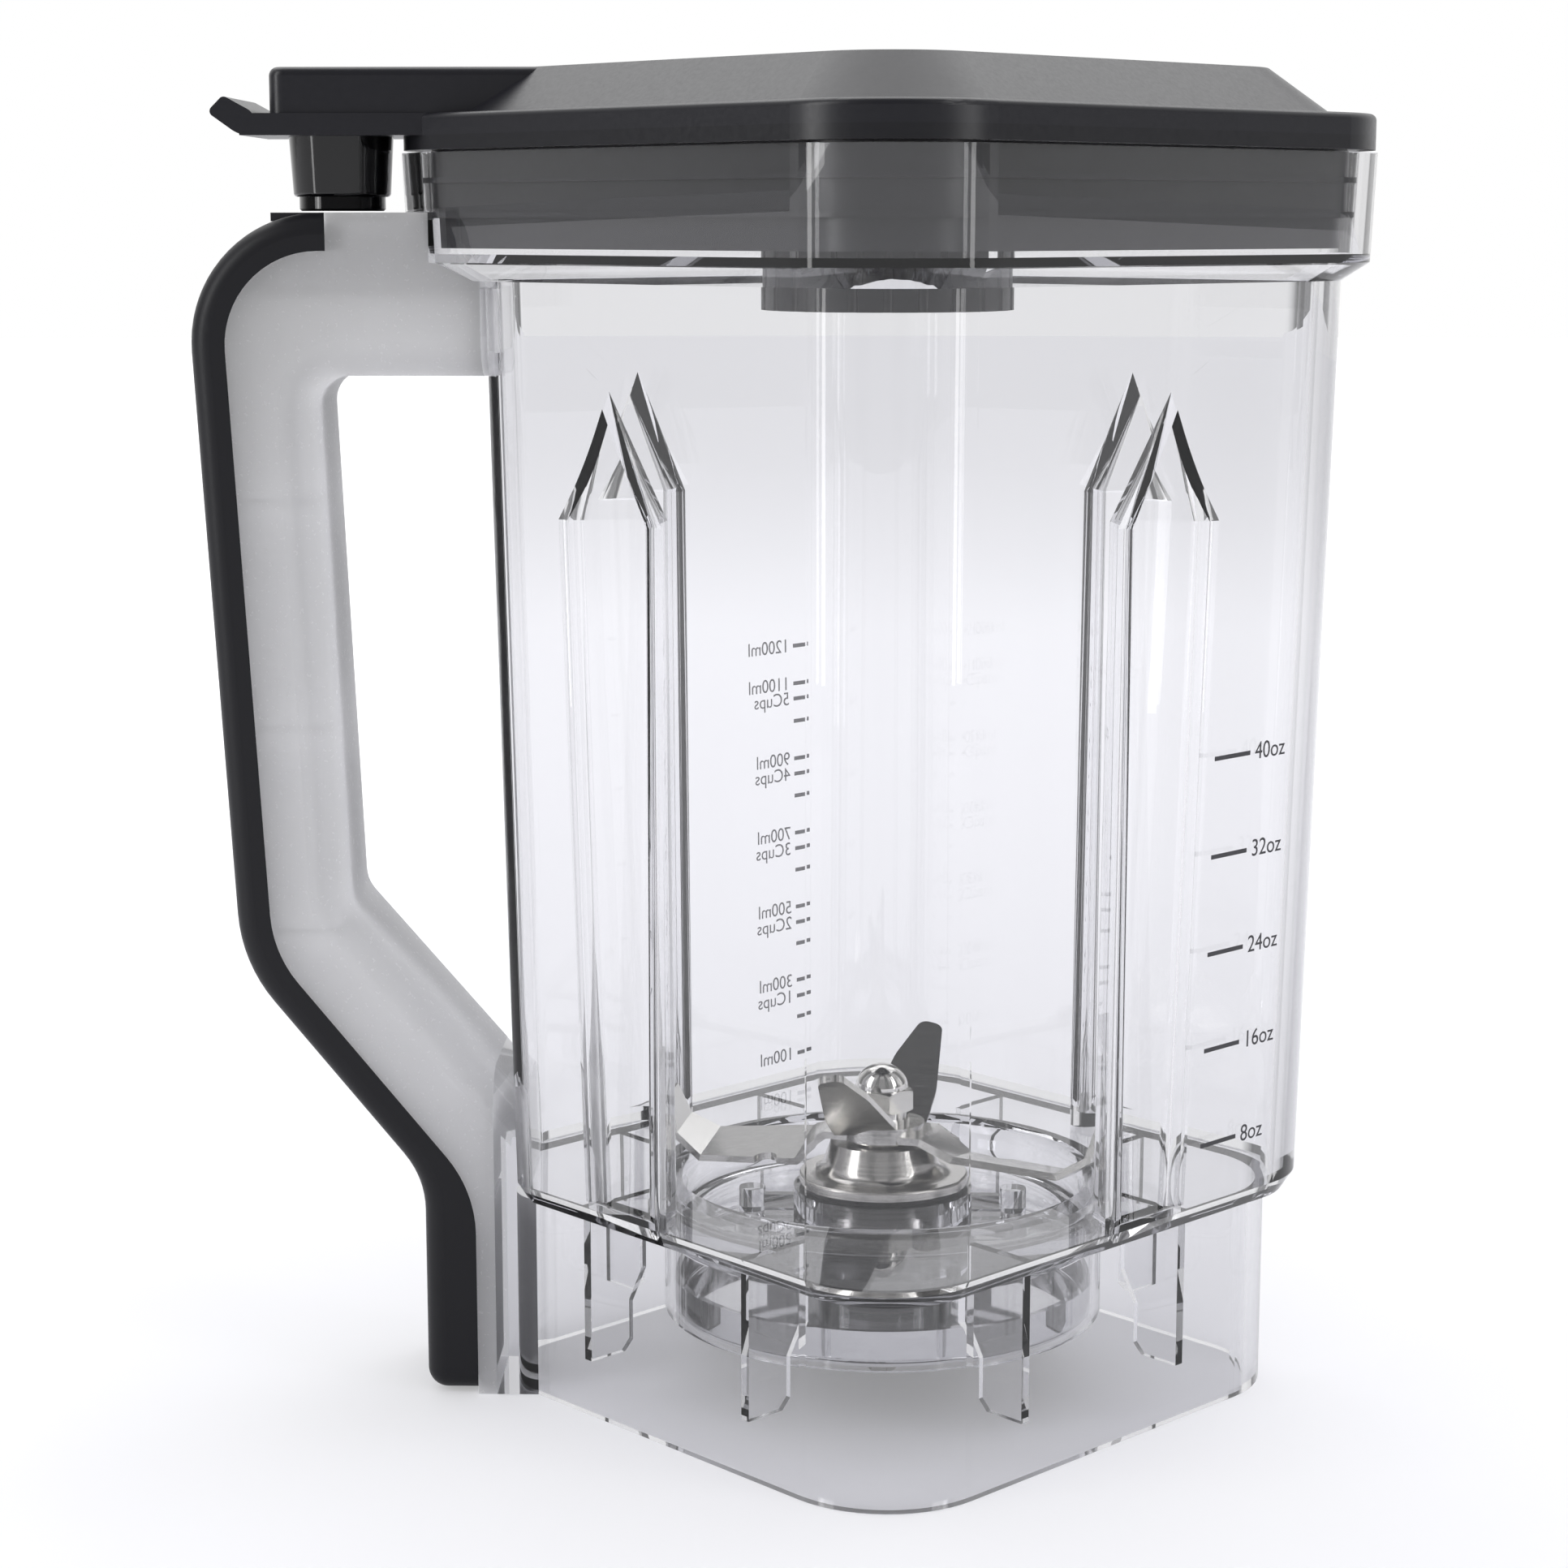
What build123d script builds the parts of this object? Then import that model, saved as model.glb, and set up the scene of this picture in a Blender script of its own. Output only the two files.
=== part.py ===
# Square blender jar: a clear moulded jar with its handle, a press-in lid with a filler cap,
# and a blade unit that turns in a bearing housing through the jar's floor.
# Millimetres. The origin is on the spindle axis in the plane of the base rim, +Z is up,
# the handle points to -X, and the jar's square corners lie on the X and Y axes.

from build123d import *
from math import cos, hypot, radians, sin, sqrt, tan
import os

# Jar body
body_half_bottom = 63.2
body_half_top = 66.2
body_corner_r = 20.0
inner_corner_r = 18.8
handle_cut_in_low = 18.4
handle_cut_in_high = 19.1
handle_cut_r = 8.0
wall = 3.4
ledge_z = 39.5
ledge_round_h = 3.6
ledge_round_in = 2.2
shoulder_z = 215.5
shoulder_h = 3.4
shoulder_rise = 1.6

# Collar round the mouth
collar_out = 4.9
collar_flare = 0.6
collar_corner_r = 24.0
collar_h = 20.0
collar_wall = 3.4

# Base skirt
skirt_step = 3.6
skirt_corner_r = 22.0
skirt_wall = 3.0

# Pressed-in flutes, one on each face
flute_shift = 6.4
flute_half_low = 7.2
flute_half_high = 10.4
flute_depth = 14.3
flute_wall = 3.2
flute_start = 5.0
flute_top_drop = 22.5
flute_head_h = 20.0
flute_over = 1.0
flute_edge_in = 0.5
flute_edge_lean = 10.0
flute_edge_r = 4.5
flute_valley_r = 2.0
flute_root_r = 2.0
flute_ridge_r = 2.8

# Floor, its round well and the boss that carries the blade unit
floor_rise = 2.5
floor_t = 3.5
well_r = 38.0
well_depth = 8.8
well_edge_h = 2.0
well_edge_r = 4.0
well_root_r = 3.0
well_floor_t = 3.3
boss_r = 16.4
boss_h = 5.2
lug_x = 24.6
lug_r = 2.6
lug_h = 4.6
lug_web_t = 2.2
lug_web_h = 3.2
ring_out = 4.2
ring_flare = 1.7
ring_wall = 1.7
ring_drop = 27.4

# Gusset fins inside the skirt, two on each face
fin_shift = 22.0
fin_t = 2.0
fin_depth = 10.5
fin_head_depth = 14.0
fin_drop = 28.3
fin_step_drop = 18.5
fin_step_h = 6.0
fin_chamfer = 2.0

# Handle, seen from the side
handle_w = 34.0
handle_rise = 12.5
handle_out = 39.7
handle_bend_in = 7.3
handle_bend_z = 85.6
handle_foot_out = 14.1
handle_foot_z = 42.9
handle_top_r = 24.5
handle_bend_r = 30.0
handle_heel_r = 18.0
handle_wall = 2.6
web_t = 1.6
web_shares = (0.169, 0.4035, 0.5763, 0.765)
channel_top_drop = 14.0
channel_bottom_z = 3.0
channel_in = 1.0
finger_top_drop = 30.2
finger_top_in = 24.3
finger_bend_in = 4.1
finger_bend_z = 97.0
finger_slope = 1.17
finger_top_r = 5.5
finger_bend_r = 7.0
finger_wall = 4.4
finger_edge_r = 7.0

# Soft grip over the handle's back
grip_end_out = 0.9
grip_t_top = 7.0
grip_t = 6.9
grip_t_foot = 10.2
grip_edge_r = 4.0
grip_foot_r = 4.0
grip_foot_gap = 0.4

# Plate let into the handle's top, and the block in its foot
plate_out = 12.2
plate_in = 10.5
plate_w = 18.0
plate_t = 1.6
foot_block_z = 3.4
foot_block_h = 9.0
foot_block_w = 14.0
seat_gap = 0.15
cut_over = 1.0

# Lid
lid_gap = 0.5
seal_flange_t = 2.6
rim_inset = 0.3
rim_h = 4.0
rim_edge_r = 1.2
dome_ledge = 6.5
dome_lean_in = 10.1
dome_corner_low = 22.0
dome_corner_high = 16.0
dome_h = 8.4
lid_t = 2.6
plug_inset = 3.5
plug_drop = 20.5
seal_t = 2.2
seal_drop = 15.0
lip_t = 1.0
lip_drops = (5.0, 11.3)
lip_gap = 0.4

# Tab over the handle, with its lifting lip
tab_w = 30.0
tab_out = 16.5
tab_corner_r = 3.0
lip_out = 5.9
lip_rise = 3.2
lip_bend_r = 5.5
lip_end_t = 3.0
lip_edge_r = 1.0
block_out = 11.4
block_w = 28.0
block_edge_r = 1.6

# Filler cap and the sleeve that holds it
cap_r = 22.7
cap_gap = 0.4
cap_seat_gap = 0.3
cap_t = 2.0
cap_drop = 44.4
cap_flange_r = 27.0
cap_flange_t = 2.4
cap_recess = 1.6
cap_top_t = 2.4
cap_scoop_r = 16.0
cap_scoop_depth = 9.0
cap_bar_w = 7.0
cap_flutes = 24
cap_flute_r = 1.0
cap_flute_h = 26.0
sleeve_t = 2.2
sleeve_drop = 28.4

# Cup under the tab and the plunger in it
cup_stand = 1.74
cup_r = 9.8
cup_foot_r = 9.1
cup_t = 1.8
cup_edge_r = 0.8
plunger_r = 8.1
plunger_foot_h = 2.6
plunger_stem_r = 4.0
plunger_gap = 0.3

# Spindle and its bearings
spindle_r = 4.0
spindle_end_z = 0.5
spline_r = 3.55
spline_gap = 1.0
spline_grooves = 6
spline_groove_w = 0.75
spline_groove_depth = 0.45
running_gap = 0.05
bearing_r = 8.0
bearing_w = 5.0
bearing_ring_t = 1.2
bearing_shield_in = 0.4
lower_bearing_drop = 2.2
upper_bearing_sink = 2.0
spacer_t = 1.6
circlip_t = 1.0
circlip_depth = 0.6
circlip_ring_w = 1.5
clip_r = 6.0
clip_gap = 0.3

# Bearing housing, its gasket, the steel dish and the nut below
gasket_t = 1.0
gasket_out_r = 14.4
housing_flange_r = 15.3
housing_edge_r = 0.5
housing_flange_t = 1.8
housing_cone_low_r = 10.6
housing_cone_high_r = 8.9
housing_flare_r = 3.0
housing_cone_h = 6.3
housing_lip_t = 1.3
housing_lip_r = 4.6
barrel_r = 10.0
barrel_gap = 0.2
barrel_lip = 2.4
dish_gap = 0.3
dish_t = 1.2
dish_h = 7.5
dish_edge_r = 2.0
nut_h = 4.2
nut_across_flats = 28.0

# Blades and what clamps them
blade_turn = -17.0
flinger_gap = 0.4
flinger_r = 6.2
flinger_t = 0.7
seat_r = 3.4
seat_flat = 2.7
stud_r = 2.9
blade_t = 1.5
hub_r = 7.6
hub_hole_gap = 0.03
wing_root_w = 12.0
wing_w = 14.5
wing_tip_w = 7.0
wing_joggle_in = 8.5
wing_joggle_out = 14.5
wing_drop = 4.2
wing_sag = 1.6
wing_bend_in = 8.0
wing_gap = 2.7
wing_tip_rise = 11.0
wing_pitch = -12.0
wing_taper = 2.0
wing_curl = 2.0
wing_joggle_lean = -20.0
wing_bend_lean = 20.0
wing_curl_lean = 62.0
wing_tip_lean = 80.0
notch_r = 2.4
notch_at = 21.0
leaf_root_w = 11.0
leaf_w = 9.5
leaf_root = 6.4
leaf_length = 23.0
leaf_rise = 40.0
leaf_twist = 18.0
leaf_turn = -8.0
leaf_belly_at = 0.35
leaf_back_at = 0.6
leaf_tip_front = 0.1
leaf_tip_back = 0.3
leaf_belly_r = 8.0
leaf_back_r = 10.0
leaf_tip_r = 1.8
washer_r = 5.0
washer_t = 1.0
lock_washer_r = 4.7
lock_washer_t = 1.3
lock_slot = 0.8
nut_flats = 10.0
nut_hex_h = 4.4
nut_dome_r = 4.7
nut_dome_h = 4.9
nut_wall_t = 2.2

# Heights and offsets that follow from the sizes above
root2 = sqrt(2)
handle_cut_bottom = body_half_bottom * root2 - handle_cut_in_low
handle_cut_top = body_half_top * root2 - handle_cut_in_high
collar_z = shoulder_z + shoulder_h
mouth_z = collar_z + collar_h
collar_half_low = body_half_top + collar_out
collar_half = collar_half_low + collar_flare
collar_tip = collar_half * root2 - collar_corner_r * (root2 - 1)
skirt_half = body_half_bottom - skirt_step
skirt_tip = skirt_half * root2 - skirt_corner_r * (root2 - 1)
flute_tip_z = shoulder_z - flute_top_drop
flute_shoulder_z = flute_tip_z - flute_head_h
floor_z = ledge_z + floor_rise
floor_under_z = floor_z - floor_t
well_z = floor_z - well_depth
well_under_z = well_z - well_floor_t
boss_top_z = well_z + boss_h
ring_r = well_r + ring_out
ring_z = floor_z - ring_drop
dish_z = ring_z
dish_r = ring_r - ring_wall - dish_gap
boss_under_z = dish_z + dish_t
seal_z = mouth_z + lid_gap
rim_z = seal_z + seal_flange_t
rim_top_z = rim_z + rim_h
lid_top_z = rim_top_z + dome_h
rim_half = collar_half - rim_inset
dome_half_low = rim_half - dome_ledge
dome_half_high = dome_half_low - dome_lean_in
plug_half = collar_half_low - collar_wall - plug_inset
plug_corner_r = collar_corner_r - collar_wall - plug_inset
cap_bottom_z = lid_top_z - cap_drop
sleeve_bottom_z = lid_top_z - sleeve_drop
lower_bearing_z = dish_z - lower_bearing_drop
upper_bearing_z = boss_top_z - upper_bearing_sink
barrel_end_z = lower_bearing_z - barrel_lip
spline_top_z = barrel_end_z - spline_gap
housing_z = boss_top_z + gasket_t
cone_z = housing_z + housing_flange_t
housing_top_z = cone_z + housing_cone_h
flinger_z = housing_top_z + flinger_gap
lower_blade_z = flinger_z + flinger_t
upper_blade_z = lower_blade_z + blade_t
washer_z = upper_blade_z + blade_t
lock_washer_z = washer_z + washer_t
cap_nut_z = lock_washer_z + lock_washer_t
wing_tip_r = body_half_bottom - flute_depth - flute_wall - wing_gap
wing_bend_r = wing_tip_r - wing_bend_in
cup_x = collar_tip + cup_stand + cup_r
tab_x = cup_x + tab_out
lip_x = tab_x + lip_out
block_x = cup_x + block_out
handle_top_z = shoulder_z + handle_rise
handle_top_x = collar_tip + handle_out
handle_bend_x = handle_top_x - handle_bend_in
handle_foot_x = skirt_tip + handle_foot_out
grip_end_x = cup_x + grip_end_out
finger_top_z = handle_top_z - finger_top_drop
finger_top_x = handle_top_x - finger_top_in
finger_bend_x = finger_top_x - finger_bend_in
channel_top_z = handle_top_z - channel_top_drop
channel_in_x = skirt_tip + channel_in
plate_x_out = cup_x + plate_out
plate_x_in = cup_x - plate_in
plate_z = handle_top_z - plate_t
cup_h = rim_z - handle_top_z - plunger_gap - plunger_foot_h
sleeve_r = cap_r + cap_gap
face_angles = (45, 135, 225, 315)


def square_face(half, corner_r, z):
    """Rounded square with its corners on the X and Y axes, at height z."""
    return Pos(0, 0, z) * RectangleRounded(2 * half, 2 * half, corner_r, rotation=45)


def square_prism(half, corner_r, z_low, z_high):
    return extrude(square_face(half, corner_r, z_low), amount=z_high - z_low, dir=(0, 0, 1))


def body_face(half, cut_x, corner_r, cut_r, z):
    """Rounded square whose handle corner is cut flat at x = -cut_x."""
    diag = half * root2
    side = diag - cut_x
    outline = FilletPolyline(
        (diag, 0, z),
        (0, diag, z),
        (-cut_x, side, z),
        (-cut_x, -side, z),
        (0, -diag, z),
        radius=[corner_r, corner_r, cut_r, cut_r, corner_r],
        close=True,
    )
    return make_face(outline)


def body_half_at(z):
    """Half side of the body's outer square at height z."""
    share = (z - ledge_z) / (shoulder_z - ledge_z)
    return body_half_bottom + (body_half_top - body_half_bottom) * share


def body_cut_at(z):
    share = (z - ledge_z) / (shoulder_z - ledge_z)
    return handle_cut_bottom + (handle_cut_top - handle_cut_bottom) * share


def body_section(z, inset=0.0, corner_r=body_corner_r):
    """Outline of the body at height z, moved inwards by inset."""
    return body_face(
        body_half_at(z) - inset,
        body_cut_at(z) - inset,
        corner_r,
        handle_cut_r - inset,
        z,
    )


def room_section(z):
    """Outline of the room inside the body at height z; its corners are rounder than the wall needs."""
    return body_section(z, wall, inner_corner_r)


def flute(angle, side, grow, inset, edge_r, valley_r, z_low):
    """V groove on the face at angle, with a rounded valley and eased edges, narrowing to a tip above.

    grow and inset move its flanks and edges inwards, for the ridge on the inside of the wall.
    """
    plane_turn = Rot(0, 0, angle)
    middle = side * flute_shift
    depth = flute_depth + grow

    def section(z, half_width):
        reach = body_half_at(z)
        edge = reach - inset - flute_edge_in
        edge_half = (half_width + grow) * (edge - reach + depth) / depth
        outside = reach - inset + flute_over
        outside_half = edge_half + (outside - edge) / tan(radians(flute_edge_lean))
        points = [
            (outside, middle - outside_half, z),
            (edge, middle - edge_half, z),
            (reach - depth, middle, z),
            (edge, middle + edge_half, z),
            (outside, middle + outside_half, z),
        ]
        radii = [0, edge_r, valley_r, edge_r, 0]
        return plane_turn * make_face(FilletPolyline(*points, radius=radii, close=True))

    head_z = flute_shoulder_z + flute_head_h * (1 + flute_over / flute_depth) + grow
    tip = plane_turn * Vertex(body_half_at(flute_shoulder_z) - inset + flute_over, middle, head_z)
    shaft = loft([section(z_low, flute_half_low), section(flute_shoulder_z, flute_half_high)], ruled=True)
    return shaft + loft([section(flute_shoulder_z, flute_half_high), tip], ruled=True)


def flute_side(angle):
    """Flutes stand away from the front and back corners, so they mirror about the XZ plane."""
    return -1 if angle in (45, 225) else 1


def parallel_runs(points, gaps):
    """Corner points of the line that runs beside an open line, each run moved over by its own gap."""
    lines = []
    for (x0, z0), (x1, z1), gap in zip(points, points[1:], gaps):
        length = hypot(x1 - x0, z1 - z0)
        ux, uz = (x1 - x0) / length, (z1 - z0) / length
        lines.append((x0 - uz * gap, z0 + ux * gap, ux, uz))
    corners = []
    for (xa, za, ua, wa), (xb, zb, ub, wb) in zip(lines, lines[1:]):
        along = ((xb - xa) * wb - (zb - za) * ub) / (ua * wb - wa * ub)
        corners.append((xa + ua * along, za + wa * along))
    return corners


def side_face(points, radii):
    """Closed face in the XZ plane with rounded corners."""
    return make_face(Plane.XZ * FilletPolyline(*points, radius=radii, close=True))


def side_slab(points, radii, width):
    return extrude(side_face(points, radii), amount=width / 2, both=True)


def tube(outer_r, inner_r, z_low, z_high):
    ring = Circle(outer_r) - Circle(inner_r)
    return extrude(Pos(0, 0, z_low) * ring, amount=z_high - z_low)


def rod(radius, z_low, z_high):
    return extrude(Pos(0, 0, z_low) * Circle(radius), amount=z_high - z_low)


def turned(*points):
    """Solid of revolution about Z from a closed outline of radius and height pairs."""
    return revolve(make_face(Plane.XZ * Polyline(*points, close=True)), Axis.Z)


# The line of the handle's back, from its top end round to the foot
back_line = [
    (-grip_end_x, handle_top_z),
    (-handle_top_x, handle_top_z),
    (-handle_bend_x, handle_bend_z),
    (-handle_foot_x, handle_foot_z),
    (-handle_foot_x, 0),
]
grip_gaps = [grip_t_top, grip_t, grip_t, grip_t_foot]
seat_line = parallel_runs(back_line, grip_gaps)
seat_top_z = handle_top_z - grip_t_top
seat_foot_x = handle_foot_x - grip_t_foot
back_radii = [handle_top_r, handle_bend_r, handle_heel_r]
seat_radii = [handle_top_r - grip_t, handle_bend_r - grip_t, handle_heel_r + grip_t]
inside_x = -body_cut_at(ledge_z) + 2 * wall


def handle_frame():
    """The jar's own handle: an open-backed channel with cross webs, round the finger gap."""
    outline = [(inside_x, seat_top_z), *seat_line, (-seat_foot_x, 0), (inside_x, 0)]
    frame = side_slab(outline, [0, *seat_radii, 0, 0], handle_w)
    frame -= side_slab(finger_points(), [0, finger_top_r, finger_bend_r, 0], 2 * handle_w)
    gap_curve = Plane.XZ * FilletPolyline(*finger_points(), radius=[finger_top_r, finger_bend_r])
    side_edges = [edge for face in frame.faces().filter_by(Axis.Y) for edge in face.edges()]
    frame = fillet([edge for edge in side_edges if on_curve(edge, gap_curve)], finger_edge_r)
    head = [
        (inside_x, seat_top_z - handle_wall),
        (-grip_end_x, seat_top_z - handle_wall),
        (-grip_end_x, handle_top_z),
        (inside_x, handle_top_z),
    ]
    frame += side_slab(head, [0, 0, 0, 0], handle_w)
    return frame - channel()


def finger_points(grow=0.0):
    """Corners of the finger gap; its right side runs on inside the jar wall."""
    drop = (finger_bend_x + inside_x) * finger_slope
    slant = hypot(1, finger_slope)
    return [
        (inside_x, finger_top_z + grow),
        (-finger_top_x - grow, finger_top_z + grow),
        (-finger_bend_x - grow, finger_bend_z - grow * (slant - finger_slope)),
        (inside_x, finger_bend_z - drop - grow * slant),
    ]


def channel():
    """Hollow behind the grip, left open towards it and crossed by webs."""
    outline = [(inside_x, seat_top_z), *seat_line, (-seat_foot_x, 0), (inside_x, 0)]
    hollow_w = handle_w - 2 * handle_wall
    hollow = side_slab(outline, [0, *seat_radii, 0, 0], hollow_w)
    grown = [0, finger_top_r + finger_wall, finger_bend_r + finger_wall, 0]
    hollow -= side_slab(finger_points(finger_wall), grown, handle_w)
    room_h = channel_top_z - channel_bottom_z
    room = Pos(-channel_in_x, 0, channel_bottom_z) * Box(
        handle_top_x, handle_w, room_h, align=(Align.MAX, Align.CENTER, Align.MIN)
    )
    hollow &= room
    for share in web_shares:
        hollow -= Pos(-handle_top_x / 2, 0, share * handle_top_z) * Box(2 * handle_top_x, handle_w, web_t)
    return hollow


def fins():
    """Two gussets on each face of the skirt, hung from the floor."""
    inner = skirt_half - skirt_wall
    fin_z = floor_under_z - fin_drop
    step_z = floor_under_z - fin_step_drop
    outline = [
        (inner + skirt_wall / 2, floor_under_z + floor_t / 2),
        (inner + skirt_wall / 2, fin_z),
        (inner - fin_depth + fin_chamfer, fin_z),
        (inner - fin_depth, fin_z + fin_chamfer),
        (inner - fin_depth, step_z),
        (inner - fin_head_depth, step_z + fin_step_h),
        (inner - fin_head_depth, floor_under_z + floor_t / 2),
    ]
    fin = extrude(make_face(Plane.XZ * Polyline(*outline, close=True)), amount=fin_t / 2, both=True)
    places = [(angle, side) for angle in face_angles for side in (-fin_shift, fin_shift)]
    return [Rot(0, 0, angle) * Pos(0, side, 0) * fin for angle, side in places]


def jar_body():
    top_half = body_half_at(shoulder_z)
    ledge_top = ledge_z + ledge_round_h
    outer = square_prism(skirt_half, skirt_corner_r, 0, ledge_z)
    foot = body_section(ledge_z, ledge_round_in, body_corner_r - ledge_round_in)
    outer += loft([foot, body_section(ledge_top)], ruled=True)
    outer += loft([body_section(ledge_top), body_section(shoulder_z)], ruled=True)
    outer += loft(
        [
            square_face(top_half, body_corner_r, shoulder_z),
            square_face(collar_half_low, collar_corner_r, collar_z),
        ],
        ruled=True,
    )
    outer += loft(
        [
            square_face(collar_half_low, collar_corner_r, collar_z),
            square_face(collar_half, collar_corner_r, mouth_z),
        ],
        ruled=True,
    )
    for angle in face_angles:
        groove_z = ledge_z + flute_start
        outer -= flute(angle, flute_side(angle), 0.0, 0.0, flute_edge_r, flute_valley_r, groove_z)
    outer += handle_frame()
    outer -= plate_pocket()

    inside = loft([room_section(floor_z), room_section(shoulder_z)], ruled=True)
    for angle in face_angles:
        ridge_z = floor_z - cut_over
        inside -= flute(angle, flute_side(angle), flute_wall, wall, flute_root_r, flute_ridge_r, ridge_z)
    inner_shoulder_z = shoulder_z + shoulder_rise
    inner_collar_z = collar_z + shoulder_rise
    neck_z = shoulder_z - cut_over
    inside += loft([room_section(neck_z), room_section(inner_shoulder_z)], ruled=True)
    inside += loft(
        [
            square_face(top_half - wall, inner_corner_r, inner_shoulder_z),
            square_face(collar_half_low - collar_wall, collar_corner_r - collar_wall, inner_collar_z),
        ],
        ruled=True,
    )
    inside += loft(
        [
            square_face(collar_half_low - collar_wall, collar_corner_r - collar_wall, inner_collar_z),
            square_face(collar_half - collar_wall, collar_corner_r - collar_wall, mouth_z),
        ],
        ruled=True,
    )
    jar = outer - inside

    jar -= square_prism(skirt_half - skirt_wall, skirt_corner_r - skirt_wall, 0, floor_under_z)
    jar += fins()
    jar += turned(
        (0, well_under_z),
        (ring_r, well_under_z),
        (ring_r + ring_flare, floor_under_z),
        (0, floor_under_z),
    )
    jar += tube(ring_r, ring_r - ring_wall, ring_z, floor_under_z)
    jar -= floor_well()
    jar += rod(boss_r, boss_under_z, boss_top_z)
    for side in (-1, 1):
        jar += Pos(side * lug_x, 0, 0) * rod(lug_r, well_under_z, well_z + lug_h)
        web = Box(lug_x, lug_web_t, lug_web_h + well_floor_t, align=(Align.MIN, Align.CENTER, Align.MIN))
        jar += Rot(0, 0, 90 - 90 * side) * Pos(0, 0, well_under_z) * web
    return jar - rod(barrel_r + barrel_gap, 0, housing_top_z)


def floor_well():
    """Round well in the floor, rounded at its foot and eased at its edge."""
    top = well_edge_h + cut_over
    outline = FilletPolyline(
        (0, well_z),
        (well_r, well_z),
        (well_r, floor_z - well_edge_h),
        (well_r + top, floor_z + cut_over),
        (0, floor_z + cut_over),
        radius=[0, well_root_r, well_edge_r, 0, 0],
        close=True,
    )
    return revolve(make_face(Plane.XZ * outline), Axis.Z)


def plate_pocket():
    """Recess for the thin plate in the handle's top."""
    size_x = plate_x_out - plate_x_in + 2 * seat_gap
    pocket = Box(size_x, plate_w + 2 * seat_gap, 2 * plate_t, align=(Align.MIN, Align.CENTER, Align.MIN))
    return Pos(-plate_x_out - seat_gap, 0, plate_z) * pocket


def handle_grip():
    """Strip that closes the handle's back, thick at the foot, with rounded outer edges."""
    back = [*back_line[:-1], (-handle_foot_x, grip_foot_gap)]
    seat = [(-seat_foot_x, grip_foot_gap), *reversed(seat_line), (-grip_end_x, seat_top_z)]
    radii = [0, *back_radii, grip_foot_r, 0, *reversed(seat_radii), 0]
    grip = side_slab(back + seat, radii, handle_w)
    back_curve = Plane.XZ * FilletPolyline(*back, radius=back_radii)
    side_edges = [edge for face in grip.faces().filter_by(Axis.Y) for edge in face.outer_wire().edges()]
    outer_edges = [edge for edge in side_edges if on_curve(edge, back_curve)]
    return fillet(outer_edges, grip_edge_r) - plate_pocket()


def on_curve(edge, curve):
    """True for an edge that lies beside a curve of the XZ plane."""
    middle = edge @ 0.5
    return curve.distance_to(Vector(middle.X, 0, middle.Z)) < seat_gap


def handle_top_plate():
    size_x = plate_x_out - plate_x_in
    plate = Box(size_x, plate_w, plate_t, align=(Align.MIN, Align.CENTER, Align.MIN))
    return Pos(-plate_x_out, 0, plate_z) * plate


def handle_foot_block():
    depth = seat_foot_x - channel_in_x - 2 * seat_gap
    block = Box(depth, foot_block_w, foot_block_h, align=(Align.MIN, Align.CENTER, Align.MIN))
    return Pos(-seat_foot_x + seat_gap, 0, foot_block_z) * block


def lid_cover():
    """Domed lid with its plug wall, filler sleeve, handle tab and the block on the tab."""
    lid = square_prism(rim_half, collar_corner_r, rim_z, rim_top_z)
    lid = fillet(lid.edges().group_by(Axis.Z)[-1], rim_edge_r)
    lid += loft(
        [
            square_face(dome_half_low, dome_corner_low, rim_top_z),
            square_face(dome_half_high, dome_corner_high, lid_top_z),
        ],
        ruled=True,
    )
    lid += square_prism(plug_half, plug_corner_r, rim_z - plug_drop, rim_z)
    lid += lid_tab()
    hollow = square_prism(plug_half - lid_t, plug_corner_r - lid_t, rim_z - plug_drop, rim_top_z - lid_t)
    hollow += loft(
        [
            square_face(plug_half - lid_t, plug_corner_r - lid_t, rim_top_z - lid_t),
            square_face(dome_half_high - lid_t, dome_corner_high - lid_t, lid_top_z - lid_t),
        ],
        ruled=True,
    )
    lid -= hollow
    lid += rod(sleeve_r + sleeve_t, sleeve_bottom_z, lid_top_z - lid_t / 2)
    lid += rod(cap_flange_r + sleeve_t, lid_top_z - cap_recess - lid_t, lid_top_z - lid_t / 2)
    lid -= rod(sleeve_r, sleeve_bottom_z, lid_top_z)
    return lid - rod(cap_flange_r + cap_gap, lid_top_z - cap_recess, lid_top_z)


def lid_tab():
    """Tab plate reaching over the handle, its turned-up lip, and the raised block on it."""
    plate = Pos(-tab_x, 0, rim_z) * Box(
        tab_x - rim_half, tab_w, rim_h, align=(Align.MIN, Align.CENTER, Align.MIN)
    )
    lip = [
        (-tab_x + lip_end_t, rim_z),
        (-tab_x, rim_z),
        (-lip_x, rim_top_z + lip_rise - lip_end_t),
        (-lip_x + lip_end_t, rim_top_z + lip_rise),
        (-tab_x + lip_end_t, rim_top_z),
    ]
    plate += side_slab(lip, [0, lip_bend_r, lip_edge_r, lip_edge_r, lip_bend_r / 2], tab_w)
    block = Pos(-block_x, 0, rim_top_z - cut_over) * Box(
        block_x - dome_half_high, block_w, dome_h + cut_over, align=(Align.MIN, Align.CENTER, Align.MIN)
    )
    block = fillet(block.edges().filter_by(Axis.Z).group_by(Axis.X)[0], tab_corner_r)
    rounded = block.faces().sort_by(Axis.Z)[-1].edges().sort_by(Axis.X)[:-1]
    return plate + fillet(rounded, block_edge_r)


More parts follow.
